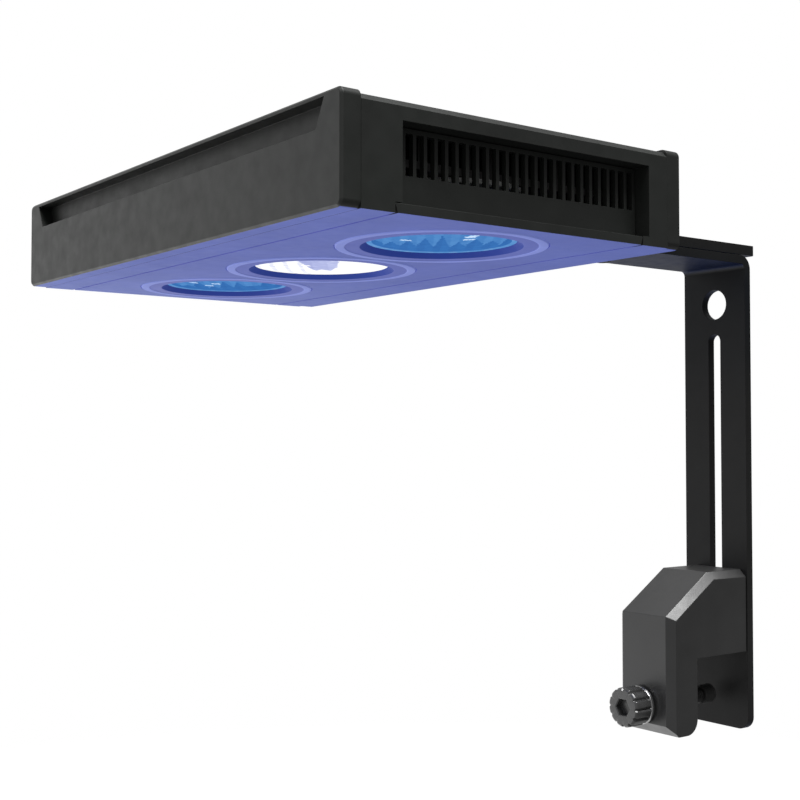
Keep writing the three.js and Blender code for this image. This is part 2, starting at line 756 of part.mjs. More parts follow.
// A stud through the arm's slot, with a low thumb knob that pulls the clamp onto the arm.

const STUD_END_X = 29;
const WASHER_X = [ARM_FRONT_X + ARM_PLATE + GAP, ARM_FRONT_X + ARM_PLATE + GAP + 1.5];
const LOCK_KNOB_X = [WASHER_X[1] + GAP, WASHER_X[1] + GAP + 7];
const LOCK_KNOB_RADIUS = 9;

const lockStud = () => rod("x", STUD_RADIUS, [STUD_START_X, STUD_END_X], [0, LOCK_Z], 20);

const lockWasher = () =>
  cut(
    rod("x", 8, WASHER_X, [0, LOCK_Z], 28),
    rod("x", STUD_RADIUS + GAP, [WASHER_X[0] - 1, WASHER_X[1] + 1], [0, LOCK_Z], 20),
  );

const lockKnob = () =>
  cut(
    prism(flutedOutline(LOCK_Z, LOCK_KNOB_RADIUS, 12, 0.9), "x", LOCK_KNOB_X),
    rod("x", STUD_RADIUS + GAP, [LOCK_KNOB_X[0] - 1, LOCK_KNOB_X[1] - 1.6], [0, LOCK_Z], 20),
  );

const guideKey = () =>
  box([KEY_FRONT_X, ARM_FRONT_X + ARM_PLATE - GAP], [-KEY_WIDTH / 2, KEY_WIDTH / 2], KEY_Z);

// ---------------------------------------------------------------- assembly

const light = new THREE.Group();
light.name = "aquarium_light";

const head = new THREE.Group();
head.position.set(HEAD_FRONT_X, -MID_Y, HEAD_BOTTOM_Z);
head.add(
  piece("housing_shell", housingShell(), "coatedMetal"),
  piece("front_end_plate", frontEndPlate(), "coatedMetal"),
  piece("rear_end_plate", rearEndPlate(), "coatedMetal"),
  piece("vent_panel_right", ventPanel(false), "coatedMetal"),
  piece("vent_panel_left", ventPanel(true), "coatedMetal"),
  piece("lens_plate", lensPlate(), "lensPlate"),
  piece("heat_sink", heatSink(), "bareMetal"),
  piece("driver_board", driverBoard(), "circuit"),
  piece("power_inlet", powerInlet(), "plastic"),
);
lensCentres.forEach(([x, y], i) => {
  const cluster = new THREE.Group();
  cluster.position.set(x, y, 0);
  cluster.add(
    piece(`trim_ring_${i + 1}`, trimRing(), "trim"),
    piece(`cover_lens_${i + 1}`, coverLens(), "clear"),
    piece(`reflector_${i + 1}`, reflector(), "mirror"),
    piece(`led_board_${i + 1}`, ledBoard(), "board"),
  );
  head.add(cluster);
});
const fan = new THREE.Group();
fan.position.set(MID_X, MID_Y, 0);
fan.add(piece("fan_frame", fanFrame(), "plastic"), piece("fan_impeller", fanImpeller(), "plastic"));
head.add(fan);
light.add(head);

light.add(
  piece("mounting_block", mountingBlock(), "coatedMetal"),
  piece("extension_arm", extensionArm(), "coatedMetal"),
  piece("drop_arm", dropArm(), "coatedMetal"),
);
BLOCK_SCREWS.forEach(([y, z], i) => {
  const shape = capScrew(BLOCK_SCREW_RADIUS, 9.6, 3.5, 4);
  const screw = piece(`block_screw_${i + 1}`, shape, "screwSteel");
  screw.rotation.y = Math.PI / 2;
  screw.position.set(BLOCK_X[1] + GAP, y - MID_Y, z + HEAD_BOTTOM_Z);
  light.add(screw);
});
[...ARM_SCREW_XS, ...JOINT_SCREW_XS].forEach((x, i) => {
  const length = i < ARM_SCREW_XS.length ? 12 : 13;
  const shape = capScrew(ARM_SCREW_RADIUS, length, 4.4, 3.2);
  const screw = piece(`arm_screw_${i + 1}`, shape, "screwSteel");
  screw.position.set(x, 0, EXTENSION_TOP_Z + GAP);
  light.add(screw);
});
JOINT_SCREW_XS.forEach((x, i) => {
  const nut = piece(`arm_nut_${i + 1}`, armNut(), "screwSteel");
  nut.position.x = x;
  light.add(nut);
});

light.add(
  piece("clamp_body", clampBody(), "coatedMetal"),
  piece("guide_key", guideKey(), "plastic"),
  piece("lock_stud", lockStud(), "screwSteel"),
  piece("lock_washer", lockWasher(), "screwSteel"),
  piece("lock_knob", lockKnob(), "plastic"),
  piece("clamp_screw", clampScrew(), "screwSteel"),
  piece("screw_knob", screwKnob(), "plastic"),
  piece("swivel_pad", swivelPad(), "rubber"),
);

export default light;
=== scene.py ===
import json
import math
import random

import bmesh
import bpy
from mathutils import Matrix, Vector


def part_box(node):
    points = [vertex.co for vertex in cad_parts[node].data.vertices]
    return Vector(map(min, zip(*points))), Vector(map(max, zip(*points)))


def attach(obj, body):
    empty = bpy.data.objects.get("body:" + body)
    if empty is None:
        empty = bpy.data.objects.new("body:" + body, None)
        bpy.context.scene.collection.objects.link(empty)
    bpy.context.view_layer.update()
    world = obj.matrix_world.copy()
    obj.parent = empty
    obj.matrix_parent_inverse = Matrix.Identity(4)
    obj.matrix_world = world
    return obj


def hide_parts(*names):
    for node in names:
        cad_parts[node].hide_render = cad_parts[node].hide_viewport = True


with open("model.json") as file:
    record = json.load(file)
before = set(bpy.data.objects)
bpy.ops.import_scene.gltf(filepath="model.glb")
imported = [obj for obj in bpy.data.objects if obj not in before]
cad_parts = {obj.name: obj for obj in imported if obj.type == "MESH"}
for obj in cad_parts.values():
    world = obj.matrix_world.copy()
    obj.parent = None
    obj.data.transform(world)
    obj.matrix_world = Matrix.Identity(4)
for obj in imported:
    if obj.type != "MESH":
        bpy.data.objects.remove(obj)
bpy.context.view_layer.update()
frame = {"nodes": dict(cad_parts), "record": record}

# An LED aquarium light: a flat lamp head with three lens clusters, an arm and a screw clamp.
# Metres, in the CAD model's frame: the clamp sits on the tank's rim at the origin, the head
# hangs towards -X, and Z is up.

MM = 0.001
record = frame["record"]
body_of = {
    node: body for body, nodes in record["behaviour"]["bodies"].items() for node in nodes
}

HEAD_LOW, HEAD_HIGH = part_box("housing_shell")
PLATE_LOW, PLATE_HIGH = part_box("lens_plate")
ARM_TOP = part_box("extension_arm")[1].z
CLUSTERS = (1, 2, 3)
WHITE_CLUSTER = 2
TOUCH = 0.01 * MM  # a point this close to a plane lies on it


def span(node):
    """The low and high corners of a node's box, and its middle."""
    low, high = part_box(node)
    return low, high, (low + high) / 2


# ---------------------------------------------------------------- finishes


class Finish:
    """A procedural material being made, with short calls for the nodes that it uses."""

    def __init__(self, name):
        self.material = bpy.data.materials.new(name)
        self.material.use_nodes = True
        self.tree = self.material.node_tree
        self.surface = self.tree.nodes["Principled BSDF"]
        self.place = self.add("ShaderNodeTexCoord").outputs["Object"]

    def add(self, kind, **settings):
        node = self.tree.nodes.new(kind)
        for name, value in settings.items():
            setattr(node, name, value)
        return node

    def link(self, source, target):
        self.tree.links.new(source, target)

    def stretched(self, scale):
        node = self.add("ShaderNodeMapping")
        node.inputs["Scale"].default_value = scale
        self.link(self.place, node.inputs["Vector"])
        return node.outputs["Vector"]

    def noise(self, scale, detail=3.0, stretch=None):
        node = self.add("ShaderNodeTexNoise")
        node.inputs["Scale"].default_value = scale
        node.inputs["Detail"].default_value = detail
        place = self.stretched(stretch) if stretch else self.place
        self.link(place, node.inputs["Vector"])
        return node.outputs["Fac"]

    def drift(self, scale, low, high, detail=3.0):
        """A value that wanders between low and high over the surface."""
        return self.spread(self.noise(scale, detail), 0.3, 0.7, low, high)

    def axis(self, name):
        node = self.add("ShaderNodeSeparateXYZ")
        self.link(self.place, node.inputs["Vector"])
        return node.outputs[name]

    def attribute(self, name):
        return self.add("ShaderNodeAttribute", attribute_name=name).outputs["Fac"]

    def spread(self, value, start, end, low, high):
        """value from start to end becomes low to high."""
        node = self.add("ShaderNodeMapRange", clamp=True)
        numbers = {"From Min": start, "From Max": end, "To Min": low, "To Max": high}
        for name, number in numbers.items():
            node.inputs[name].default_value = number
        self.link(value, node.inputs["Value"])
        return node.outputs["Result"]

    def added(self, a, b):
        node = self.add("ShaderNodeMath", operation="ADD")
        self.link(a, node.inputs[0])
        self.link(b, node.inputs[1])
        return node.outputs["Value"]

    def ramp(self, value, *stops):
        """A colour ramp through (position, colour) stops."""
        node = self.add("ShaderNodeValToRGB")
        band = node.color_ramp
        while len(band.elements) < len(stops):
            band.elements.new(1.0)
        for element, (position, colour) in zip(band.elements, stops):
            element.position = position
            element.color = (*colour, 1.0)
        self.link(value, node.inputs["Fac"])
        return node.outputs["Color"]

    def shade(self, colour, amount):
        """The colour multiplied by a changing amount."""
        node = self.add("ShaderNodeVectorMath", operation="SCALE")
        self.link(colour, node.inputs[0])
        self.link(amount, node.inputs["Scale"])
        return node.outputs["Vector"]

    def bump(self, height, depth, strength):
        node = self.add("ShaderNodeBump")
        node.inputs["Distance"].default_value = depth
        node.inputs["Strength"].default_value = strength
        self.link(height, node.inputs["Height"])
        self.link(node.outputs["Normal"], self.surface.inputs["Normal"])

    def grain(self, scale, depth, strength):
        self.bump(self.noise(scale, 2.0), depth, strength)

    def connect(self, **sockets):
        for name, output in sockets.items():
            self.link(output, self.surface.inputs[name.replace("_", " ")])

    def fix(self, **sockets):
        for name, value in sockets.items():
            self.surface.inputs[name.replace("_", " ")].default_value = value


def grey(value):
    """A neutral colour."""
    return (value, value, value)


def coated_metal(name, dark, light, rough, level):
    """Fine powder coat: a faint cloudiness in colour and gloss, and a tight orange-peel."""
    finish = Finish(name)
    cloud = finish.noise(28.0, 4.0)
    finish.connect(
        Base_Color=finish.ramp(cloud, (0.35, dark), (0.65, light)),
        Roughness=finish.drift(160.0, rough - 0.05, rough + 0.06),
    )
    finish.fix(Specular_IOR_Level=level)
    finish.grain(2600.0, 0.03 * MM, 0.5)
    return finish.material


def arm_metal_painted_light(name):
    """The arm's powder coat, with the lamp's blue light painted on its faces that look down at the
    top, and painted shade in a darker, bluer band just below the top.
    """
    finish = Finish(name)
    # painted shade: the coat is darker and bluer just below the arm's top
    height = finish.spread(finish.axis("Z"), 0.0, ARM_TOP, 0.0, 1.0)
    tone = finish.ramp(
        height,
        (0.0, grey(0.0128)),
        (0.6, grey(0.0102)),
        (0.9, (0.0040, 0.0052, 0.0075)),
        (1.0, grey(0.0100)),
    )
    facing = finish.add("ShaderNodeSeparateXYZ")
    finish.link(finish.add("ShaderNodeNewGeometry").outputs["Normal"], facing.inputs["Vector"])
    # painted light: the lamp's blue is painted into the colour of the faces that look down
    painted_lamp_blue = finish.add("ShaderNodeMix", data_type="RGBA")
    below = finish.spread(facing.outputs["Z"], -0.9, -0.3, 0.9, 0.0)
    finish.link(below, painted_lamp_blue.inputs["Factor"])
    finish.link(tone, painted_lamp_blue.inputs["A"])
    painted_lamp_blue.inputs["B"].default_value = (0.0040, 0.0120, 0.0520, 1.0)
    cloud = finish.spread(finish.noise(28.0, 4.0), 0.35, 0.65, 0.85, 1.15)
    finish.connect(
        Base_Color=finish.shade(painted_lamp_blue.outputs["Result"], cloud),
        Roughness=finish.drift(160.0, 0.40, 0.50),
    )
    finish.fix(Specular_IOR_Level=0.16)
    finish.grain(2600.0, 0.03 * MM, 0.5)
    return finish.material


# The head's blue lower faces are painted light: their colour also glows, at this share, though they
# are no lamp.
PAINTED_GLOW_SHARE = 0.42  # how much of a lit face's tone is the lamp's own light spilling over it


def painted_blue_light(name, near, far, dark_end=0.0):
    """The head's lower faces in painted blue light: a painted glow whose tone rises from near to far
    along the head.

    dark_end is the share of the head's depth, from its near side, painted in shade as if no light
    reached it.
    """
    finish = Finish(name)
    along = finish.spread(finish.axis("Y"), HEAD_LOW.y, HEAD_HIGH.y, 0.0, 1.0)
    # painted shade: the near end is painted almost black
    start = grey(0.006) if dark_end else near
    tone = finish.ramp(along, (dark_end, start), (dark_end + 0.01, near), (0.55, near), (1.0, far))
    mottle = finish.drift(45.0, 0.93, 1.05, 4.0)
    glow = finish.shade(tone, mottle)
    # painted light: the tone is given off as a glow as well as used as the colour
    finish.connect(
        Base_Color=glow,
        Emission_Color=glow,
        Roughness=finish.drift(220.0, 0.62, 0.74),
    )
    finish.fix(Specular_IOR_Level=0.12, Emission_Strength=PAINTED_GLOW_SHARE)
    finish.grain(2200.0, 0.02 * MM, 0.5)
    return finish.material


def glowing_lens(name, stops):
    """Lens facets: each one shows its own tone of the light behind it, with no sheen on top."""
    finish = Finish(name)
    tone = finish.added(finish.attribute("tone"), finish.drift(300.0, -0.05, 0.05, 2.0))
    glow = finish.ramp(tone, *stops)
    skin = finish.shade(glow, finish.drift(90.0, 0.08, 0.14))
    finish.connect(Emission_Color=glow, Base_Color=skin)
    finish.fix(Emission_Strength=1.0, Roughness=0.5, Specular_IOR_Level=0.0, IOR=1.0)
    return finish.material


def moulded_plastic(name, dark, light, rough, level=0.5):
    """Moulded plastic: a fine spark-eroded grain and faint flow marks."""
    finish = Finish(name)
    flow = finish.noise(60.0, 3.0, (1.0, 0.35, 1.0))
    finish.connect(
        Base_Color=finish.ramp(flow, (0.35, dark), (0.65, light)),
        Roughness=finish.drift(300.0, rough - 0.04, rough + 0.05),
    )
    finish.fix(Specular_IOR_Level=level)
    finish.grain(3200.0, 0.02 * MM, 0.4)
    return finish.material


def machined_metal(name, dark, light, rough, grain=(1.0, 1.0, 1.0)):
    """Bare or blackened metal with the fine lines that machining leaves."""
    finish = Finish(name)
    lines = finish.noise(700.0, 3.0, grain)
    finish.connect(
        Base_Color=finish.ramp(finish.noise(40.0), (0.3, dark), (0.7, light)),
        Roughness=finish.spread(lines, 0.3, 0.7, rough - 0.07, rough + 0.09),
    )
    finish.fix(Metallic=1.0)
    finish.bump(lines, 0.02 * MM, 0.35)
    return finish.material


def soft_rubber(name):
    """Matt black rubber with a fine rough grain."""
    finish = Finish(name)
    finish.connect(
        Base_Color=finish.ramp(finish.noise(120.0), (0.3, grey(0.012)), (0.7, grey(0.022))),
        Roughness=finish.drift(500.0, 0.7, 0.85),
    )
    finish.fix(Specular_IOR_Level=0.3)
    finish.grain(1800.0, 0.05 * MM, 0.5)
    return finish.material


def circuit_board(name):
    """Green solder mask with copper tracks showing through as paler lines."""
    finish = Finish(name)
    tracks = finish.add("ShaderNodeTexBrick")
    tracks.inputs["Scale"].default_value = 260.0
    finish.link(finish.place, tracks.inputs["Vector"])
    mask = finish.ramp(tracks.outputs["Fac"], (0.2, (0.010, 0.075, 0.028)), (0.8, (0.03, 0.16, 0.06)))
    finish.connect(Base_Color=mask, Roughness=finish.drift(200.0, 0.35, 0.5))
    return finish.material


COAT = coated_metal("powder_coat", (0.0120, 0.0130, 0.0120), (0.0150, 0.0168, 0.0152), 0.46, 0.34)
# the arm's coat carries painted lamp light and painted shade
ARM_COAT_PAINTED_LIGHT = arm_metal_painted_light("arm_coat_painted_light")
CLAMP_COAT = coated_metal("clamp_coat", grey(0.0180), grey(0.0240), 0.36, 0.62)
# the head's lower faces: painted blue light and glow, brighter towards the far side
UNDERSIDE_PAINTED_GLOW = painted_blue_light("painted_blue_light", (0.094, 0.122, 0.375), (0.128, 0.160, 0.420))
# trim ring: three copies of the painted blue light, the lip paler as a painted highlight and the wall
# darker as painted shade
TRIM_LIP_PAINTED_HIGHLIGHT = painted_blue_light("trim_lip_painted_highlight", (0.175, 0.215, 0.545), (0.195, 0.235, 0.570))
TRIM_CONE_PAINTED_GLOW = painted_blue_light("trim_cone_painted_glow", (0.092, 0.115, 0.370), (0.125, 0.145, 0.410))
TRIM_WALL_PAINTED_SHADE = painted_blue_light("trim_wall_painted_shade", (0.020, 0.042, 0.250), (0.026, 0.050, 0.280))
# the seams' walls: a darker painted blue glow, with painted shade at the head's near end
SEAM_WALL_PAINTED_GLOW = painted_blue_light(
    "seam_wall_painted_glow", (0.080, 0.095, 0.380), (0.090, 0.105, 0.400), dark_end=0.012
)
BLUE_LENS = glowing_lens(
    "blue_lens",
    (
        (0.0, (0.022, 0.085, 0.310)),
        (0.4, (0.040, 0.165, 0.455)),
        (0.75, (0.095, 0.270, 0.590)),
        # the top stop is the painted glints' white-blue
        (1.0, (0.560, 0.740, 0.960)),
    ),
)
WHITE_LENS = glowing_lens(
    "white_lens",
    (
        (0.0, (0.230, 0.260, 0.560)),
        (0.3, (0.480, 0.520, 0.800)),
        (0.5, (1.0, 1.0, 1.0)),
        (1.0, (1.0, 1.0, 1.0)),
    ),
)
CLEAR_PLASTIC = moulded_plastic("clear_lens_rim", (0.02, 0.03, 0.06), (0.03, 0.04, 0.08), 0.2)
KNOB = moulded_plastic("knob_plastic", grey(0.026), grey(0.036), 0.26, 0.9)
INNER_PLASTIC = moulded_plastic("inner_plastic", grey(0.014), grey(0.020), 0.45)
BLACK_STEEL = machined_metal("black_steel", grey(0.022), grey(0.040), 0.36)
BARE_ALUMINIUM = machined_metal("bare_aluminium", grey(0.10), grey(0.14), 0.5, (0.2, 8.0, 8.0))
POLISHED = machined_metal("polished_collar", grey(0.70), grey(0.80), 0.16)
MIRROR = machined_metal("mirror_reflector", (0.30, 0.33, 0.38), (0.36, 0.39, 0.44), 0.16)
BOARD = moulded_plastic("led_board", (0.70, 0.72, 0.70), (0.80, 0.82, 0.80), 0.45)
CIRCUIT = circuit_board("circuit_board")
RUBBER = soft_rubber("pad_rubber")


# ---------------------------------------------------------------- making pieces


def stand_for(mesh, node, *materials):
    """The mesh becomes a piece that replaces the CAD node and rides on the node's body."""
    piece = bpy.data.objects.new(f"{node}_look", mesh)
    bpy.context.scene.collection.objects.link(piece)
    for material in materials:
        mesh.materials.append(material)
    mesh.polygons.foreach_set("use_smooth", [True] * len(mesh.polygons))
    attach(piece, body_of[node])
    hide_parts(node)
    return piece


# How far each refined piece's edges are rounded, in millimetres.
ROUNDING = {
    "housing_shell": 0.14,
    "front_end_plate": 0.14,
    "rear_end_plate": 0.14,
    "vent_panel_right": 0.18,
    "vent_panel_left": 0.18,
    "lens_plate": 0.12,
    "fan_frame": 0.2,
    "fan_impeller": 0.15,
    "mounting_block": 0.4,
    "extension_arm": 0.35,
    "drop_arm": 0.3,
    "clamp_body": 0.28,
    "guide_key": 0.3,
}


def refined(node, *materials, adjust=None, lit=False):
    """A copy of a CAD node with its flat faces merged and its edges rounded."""
    work = bmesh.new()
    work.from_mesh(frame["nodes"][node].data)
    bmesh.ops.remove_doubles(work, verts=work.verts, dist=0.002 * MM)
    if adjust:
        for vert in work.verts:
            vert.co = adjust(vert.co)
    bmesh.ops.dissolve_limit(
        work, angle_limit=math.radians(0.5), verts=work.verts, edges=work.edges
    )
    # faces that look down take a finish with painted blue light; seam walls take the next slot
    if lit:
        for face in work.faces:
            face.material_index = painted_glow_part(face)
    mesh = bpy.data.meshes.new(f"{node}_look")
    work.to_mesh(mesh)
    work.free()
    piece = stand_for(mesh, node, *materials)
    edges = piece.modifiers.new("rounded_edges", "BEVEL")
    edges.width = ROUNDING[node] * MM
    edges.segments = 3
    edges.limit_method = "ANGLE"
    edges.angle_limit = math.radians(30)
    normals = piece.modifiers.new("flat_faces", "WEIGHTED_NORMAL")
    normals.keep_sharp = False
    return piece


# A face this far past the lens plate's box still takes the painted blue light.
LIT_MARGIN = 1.0 * MM  # how far past the lens plate's box a face still counts as lit
SEAM_DEPTH = 4.0 * MM


def painted_glow_part(face):
    """Which finish a face of the head takes: 1 below, where blue light is painted; 2 inside a seam; 0
    elsewhere.
    """
    place = face.calc_center_median()
    if place.z < PLATE_LOW.z + LIT_MARGIN and face.normal.z < -0.9:
        return 1
    near_seam = PLATE_LOW.x - LIT_MARGIN < place.x < PLATE_HIGH.x + LIT_MARGIN
    upright = abs(face.normal.z) < 0.4 and abs(face.normal.y) < 0.95
    return 2 if near_seam and upright and place.z < PLATE_LOW.z + SEAM_DEPTH else 0


def along_x(low_x, y, z):
    """Places a turned piece with its axis along +X, starting at low_x."""
    return Matrix(((0, 0, 1, low_x), (1, 0, 0, y), (0, 1, 0, z), (0, 0, 0, 1)))


def along_z(x, y, low_z):
    """Places a turned piece with its axis along +Z, starting at low_z."""
    return Matrix.Translation((x, y, low_z))


def eased(outline, parts=4):
    """An outline of (radius, height, ease) points in millimetres, with each corner rounded."""
    points = []
    for i, (radius, height, ease) in enumerate(outline):
        here = Vector((radius, height))
        if ease == 0:
            points.append((radius, height))
            continue
        before = Vector(outline[i - 1][:2]) - here
        after = Vector(outline[(i + 1) % len(outline)][:2]) - here
        start = here + before.normalized() * min(ease, before.length / 2)
        end = here + after.normalized() * min(ease, after.length / 2)
        for step in range(parts + 1):
            t = step / parts
            point = start * (1 - t) ** 2 + here * 2 * t * (1 - t) + end * t**2
            points.append((point.x, point.y))
    return points


def turned(name, rings, place, steps=96, closed=False, shape=None):
    """Skins rings of (radius, height) in millimetres round an axis.

    shape(angle, radius, height) gives the radius at that angle. A ring of radius 0 is a
    single point. A closed outline joins its last ring to its first, as a tube does.
    """
    work = bmesh.new()
    loops = []
    for radius, height in rings:
        count = 1 if radius == 0 else steps
        loop = []
        for i in range(count):
            angle = math.tau * i / steps
            r = shape(angle, radius, height) if shape else radius
            point = Vector((r * math.cos(angle), r * math.sin(angle), height)) * MM
            loop.append(work.verts.new(place @ point))
        loops.append(loop)
    pairs = list(zip(loops, loops[1:]))
    if closed:
        pairs.append((loops[-1], loops[0]))
    for a, b in pairs:
        for i in range(steps):
            j = (i + 1) % steps
            if len(a) == 1:
                work.faces.new((a[0], b[j], b[i]))
            elif len(b) == 1:
                work.faces.new((a[i], a[j], b[0]))
            else:
                work.faces.new((a[i], a[j], b[j], b[i]))
    bmesh.ops.recalc_face_normals(work, faces=work.faces)
    mesh = bpy.data.meshes.new(name)
    work.to_mesh(mesh)
    work.free()
    return mesh


def sharpen(piece, degrees=34):
    """Keeps the edges sharper than an angle crisp, and the rest smooth."""
    piece.data.set_sharp_from_angle(angle=math.radians(degrees))
    return piece


def hexagon(angle, radius):
    """The distance from a hexagon's centre to its edge, for a corner radius."""
    return radius * math.cos(math.pi / 6) / math.cos((angle % (math.pi / 3)) - math.pi / 6)


# ---------------------------------------------------------------- lamp head

CLOSE = 0.26 * MM  # the CAD's working gaps are closed up to a hairline
SEAM = 0.7 * MM  # how far the lens plate's lower edge is drawn in from its seams


def close_shell(point):
    """Draws the shell's two ends up to the end plates."""
    if abs(point.x - HEAD_LOW.x) < TOUCH:
        point.x -= CLOSE
    elif abs(point.x - HEAD_HIGH.x) < TOUCH:
        point.x += CLOSE
    return point


def open_seam(point):
    """Slopes the lens plate's two sides, so that a narrow groove shows along its seams."""
    inward = SEAM if point.z < PLATE_LOW.z + TOUCH else -CLOSE
    if abs(point.x - PLATE_LOW.x) < TOUCH:
        point.x += inward
    elif abs(point.x - PLATE_HIGH.x) < TOUCH:
        point.x -= inward
    return point


def build_housing():
    """The head's shell, end plates, vent panels and lens plate, with blue light painted where they
    face down.
    """
    refined("housing_shell", COAT, UNDERSIDE_PAINTED_GLOW, SEAM_WALL_PAINTED_GLOW, adjust=close_shell, lit=True)
    refined("front_end_plate", COAT, UNDERSIDE_PAINTED_GLOW, COAT, lit=True)
    refined("rear_end_plate", COAT, UNDERSIDE_PAINTED_GLOW, COAT, lit=True)
    refined("vent_panel_right", COAT)
    refined("vent_panel_left", COAT)
    refined("lens_plate", COAT, UNDERSIDE_PAINTED_GLOW, SEAM_WALL_PAINTED_GLOW, adjust=open_seam, lit=True)


def build_trim_ring(number):
    """Trim ring: a raised lip, a shallow cone inside it and a wall that leads up to the lens, each in
    its own tone of painted blue light: a painted highlight on the lip and painted shade on the wall.
    """
    node = f"trim_ring_{number}"
    low, high, middle = span(node)
    outer = (high.x - low.x) / 2 / MM
    tall = (high.z - low.z) / MM
    lip, flat, aperture, seat = outer - 3.3, 28.4, 26.0, 34.0
    wall_top = 2.40
    outline = eased(
        [
            (outer, 0.7, 0.15),
            (outer - 0.3, 0.3, 0.2),
            (lip, 0.3, 0.2),
            (lip - 0.35, 0.55, 0.15),
            (flat, 0.45, 0.2),
            (aperture, wall_top - 0.02, 0.1),
            (seat, wall_top, 0),
            (seat, tall, 0.15),
            (outer, tall, 0.15),
        ],
        5,
    )
    mesh = turned(node, outline, along_z(middle.x, middle.y, low.z), 160, closed=True)
    sharpen(stand_for(mesh, node, TRIM_LIP_PAINTED_HIGHLIGHT, TRIM_CONE_PAINTED_GLOW, TRIM_WALL_PAINTED_SHADE, INNER_PLASTIC), 50)
    # the lip takes the painted highlight, the cone the painted glow and the wall the painted shade
    for face in mesh.polygons:
        across = (Vector(face.center).xy - middle.xy).length / MM
        if face.normal.z > 0.5 or face.center.z > low.z + (wall_top - 0.01) * MM:
            face.material_index = 3
        elif across < flat - 0.1:
            face.material_index = 2
        elif across < lip - 0.2:
            face.material_index = 1


# A cover lens, in millimetres: its rim's thickness, the radius where its face starts, and
# the fine rings of its face, which hang down further and further towards the middle.
LENS_RIM = 1.7
LENS_RADIUS = 25.95
FACE_RADIUS, FACE_DROP = 25.0, 0.12
FINE_RINGS, RING_WIDTH, RING_DROP = 31, 0.75, 0.05
MIDDLE_DROP = 1.75
BORDER = 24.6  # the pale border starts at this radius

# The tones painted on it: 0 is the darkest light that shows through, and 1 the brightest.
LENS_SEED = 5
PRISMS = 9
PRISM_WIDTH = 2 * LENS_RADIUS / PRISMS
PATCH = (-4.0, 6.0)  # where the white cluster's shaded facets lie, across its lens
BORDER_TONE = 0.75
LIT_FLANKS = (0.66, 0.56)
SHADED_FLANKS = (0.30, 0.36)
WHITE_TONE, WHITE_EDGE_TONE = 0.9, 0.42
# painted highlights: small white glints painted on each lens's face
PAINTED_GLINT_TONE, PAINTED_GLINT_WIDTH, PAINTED_GLINT_DEPTH = 1.0, 1.8, 0.9
GRAIN_COS, GRAIN_SIN = 0.8, 0.6  # the prisms run at this angle to the head's sides


def flank_tone(across, deep, peaks, feet, white, border):
    """The tone at a point of the lens: jagged prisms run over it, each with two flanks."""
    step, turn = divmod((across + LENS_RADIUS) / PRISM_WIDTH, 1.0)
    step = min(int(step), PRISMS - 1)
    edge = peaks[step] + (feet[step] - peaks[step]) * abs(2 * turn - 1)
    if white:
        shaded = PATCH[0] + 0.25 * deep < across < PATCH[1] - 0.1 * deep
        if shaded and deep < edge:
            return 0.04 + 0.05 * step
        return WHITE_EDGE_TONE if across < PATCH[0] and turn < 0.3 else WHITE_TONE
    if border:
        return BORDER_TONE
    flanks = LIT_FLANKS if deep < edge - 8.0 else SHADED_FLANKS
    return flanks[0] if turn < 0.5 else flanks[1]


def build_cover_lens(number):
    """Cover lens: a turned disc, with its prisms painted on the face that looks down."""
    node = f"cover_lens_{number}"
    low, high, middle = span(node)
    base = (high.z - low.z) / MM - LENS_RIM
    wide = (high.x - low.x) / 2 / MM
    rings = [(0, LENS_RIM + base), (wide, LENS_RIM + base), (wide, base), (LENS_RADIUS, base)]
    for i in range(FINE_RINGS + 1):
        rings.append((FACE_RADIUS - RING_WIDTH * i, base - FACE_DROP - RING_DROP * i))
    rings.append((0, base - MIDDLE_DROP))
    mesh = turned(node, rings, along_z(middle.x, middle.y, low.z), 120)
    white = number == WHITE_CLUSTER
    draw = random.Random(number + LENS_SEED)
    peaks = [draw.uniform(-9.0, 7.0) for _ in range(PRISMS + 1)]
    feet = [draw.uniform(6.0, 16.0) for _ in range(PRISMS + 1)]
    # painted highlights: four glints, each a small patch set to the brightest tone
    painted_glints = [(draw.uniform(-15.0, 15.0), draw.uniform(-20.0, -4.0)) for _ in range(4)]
    tone = mesh.attributes.new("tone", "FLOAT", "FACE")
    for face in mesh.polygons:
        if face.normal.z > -0.2:
            continue
        face.material_index = 1
        place = (Vector(face.center) - middle).xy / MM
        across = place.x * GRAIN_COS - place.y * GRAIN_SIN
        deep = place.x * GRAIN_SIN + place.y * GRAIN_COS
        value = flank_tone(across, deep, peaks, feet, white, place.length > BORDER)
        for glint_across, glint_deep in painted_glints:
            if abs(across - glint_across) < PAINTED_GLINT_WIDTH and abs(deep - glint_deep) < PAINTED_GLINT_DEPTH:
                value = PAINTED_GLINT_TONE
        tone.data[face.index].value = value
    material = WHITE_LENS if white else BLUE_LENS
    sharpen(stand_for(mesh, node, CLEAR_PLASTIC, material), 12)


def build_inlet():
    """Power inlet: a flanged barrel with a knurled nut and a centre pin in its socket."""
    node = "power_inlet"
    low, high, middle = span(node)
    deep = (high.x - low.x) / MM
    outline = eased(
        [
            (0, 0, 0),
            (6.0, 0, 0.4),
            (6.0, deep - 2.0, 0.1),
            (8.0, deep - 2.0, 0.25),
            (8.0, deep, 0.5),
            (3.4, deep, 0.3),
            (2.8, deep - 0.8, 0.1),
            (2.8, deep - 10.0, 0.1),
            (1.0, deep - 10.0, 0.1),
            (1.0, deep - 1.6, 0.3),
            (0, deep - 1.4, 0),
        ]
    )

    def knurled(angle, radius, height):
        grip = radius > 7.5 and height > deep - 1.7
        return radius - 0.18 * abs(math.sin(18 * angle)) if grip else radius

    mesh = turned(node, outline, along_x(low.x, middle.y, middle.z), 144, shape=knurled)
    sharpen(stand_for(mesh, node, INNER_PLASTIC))


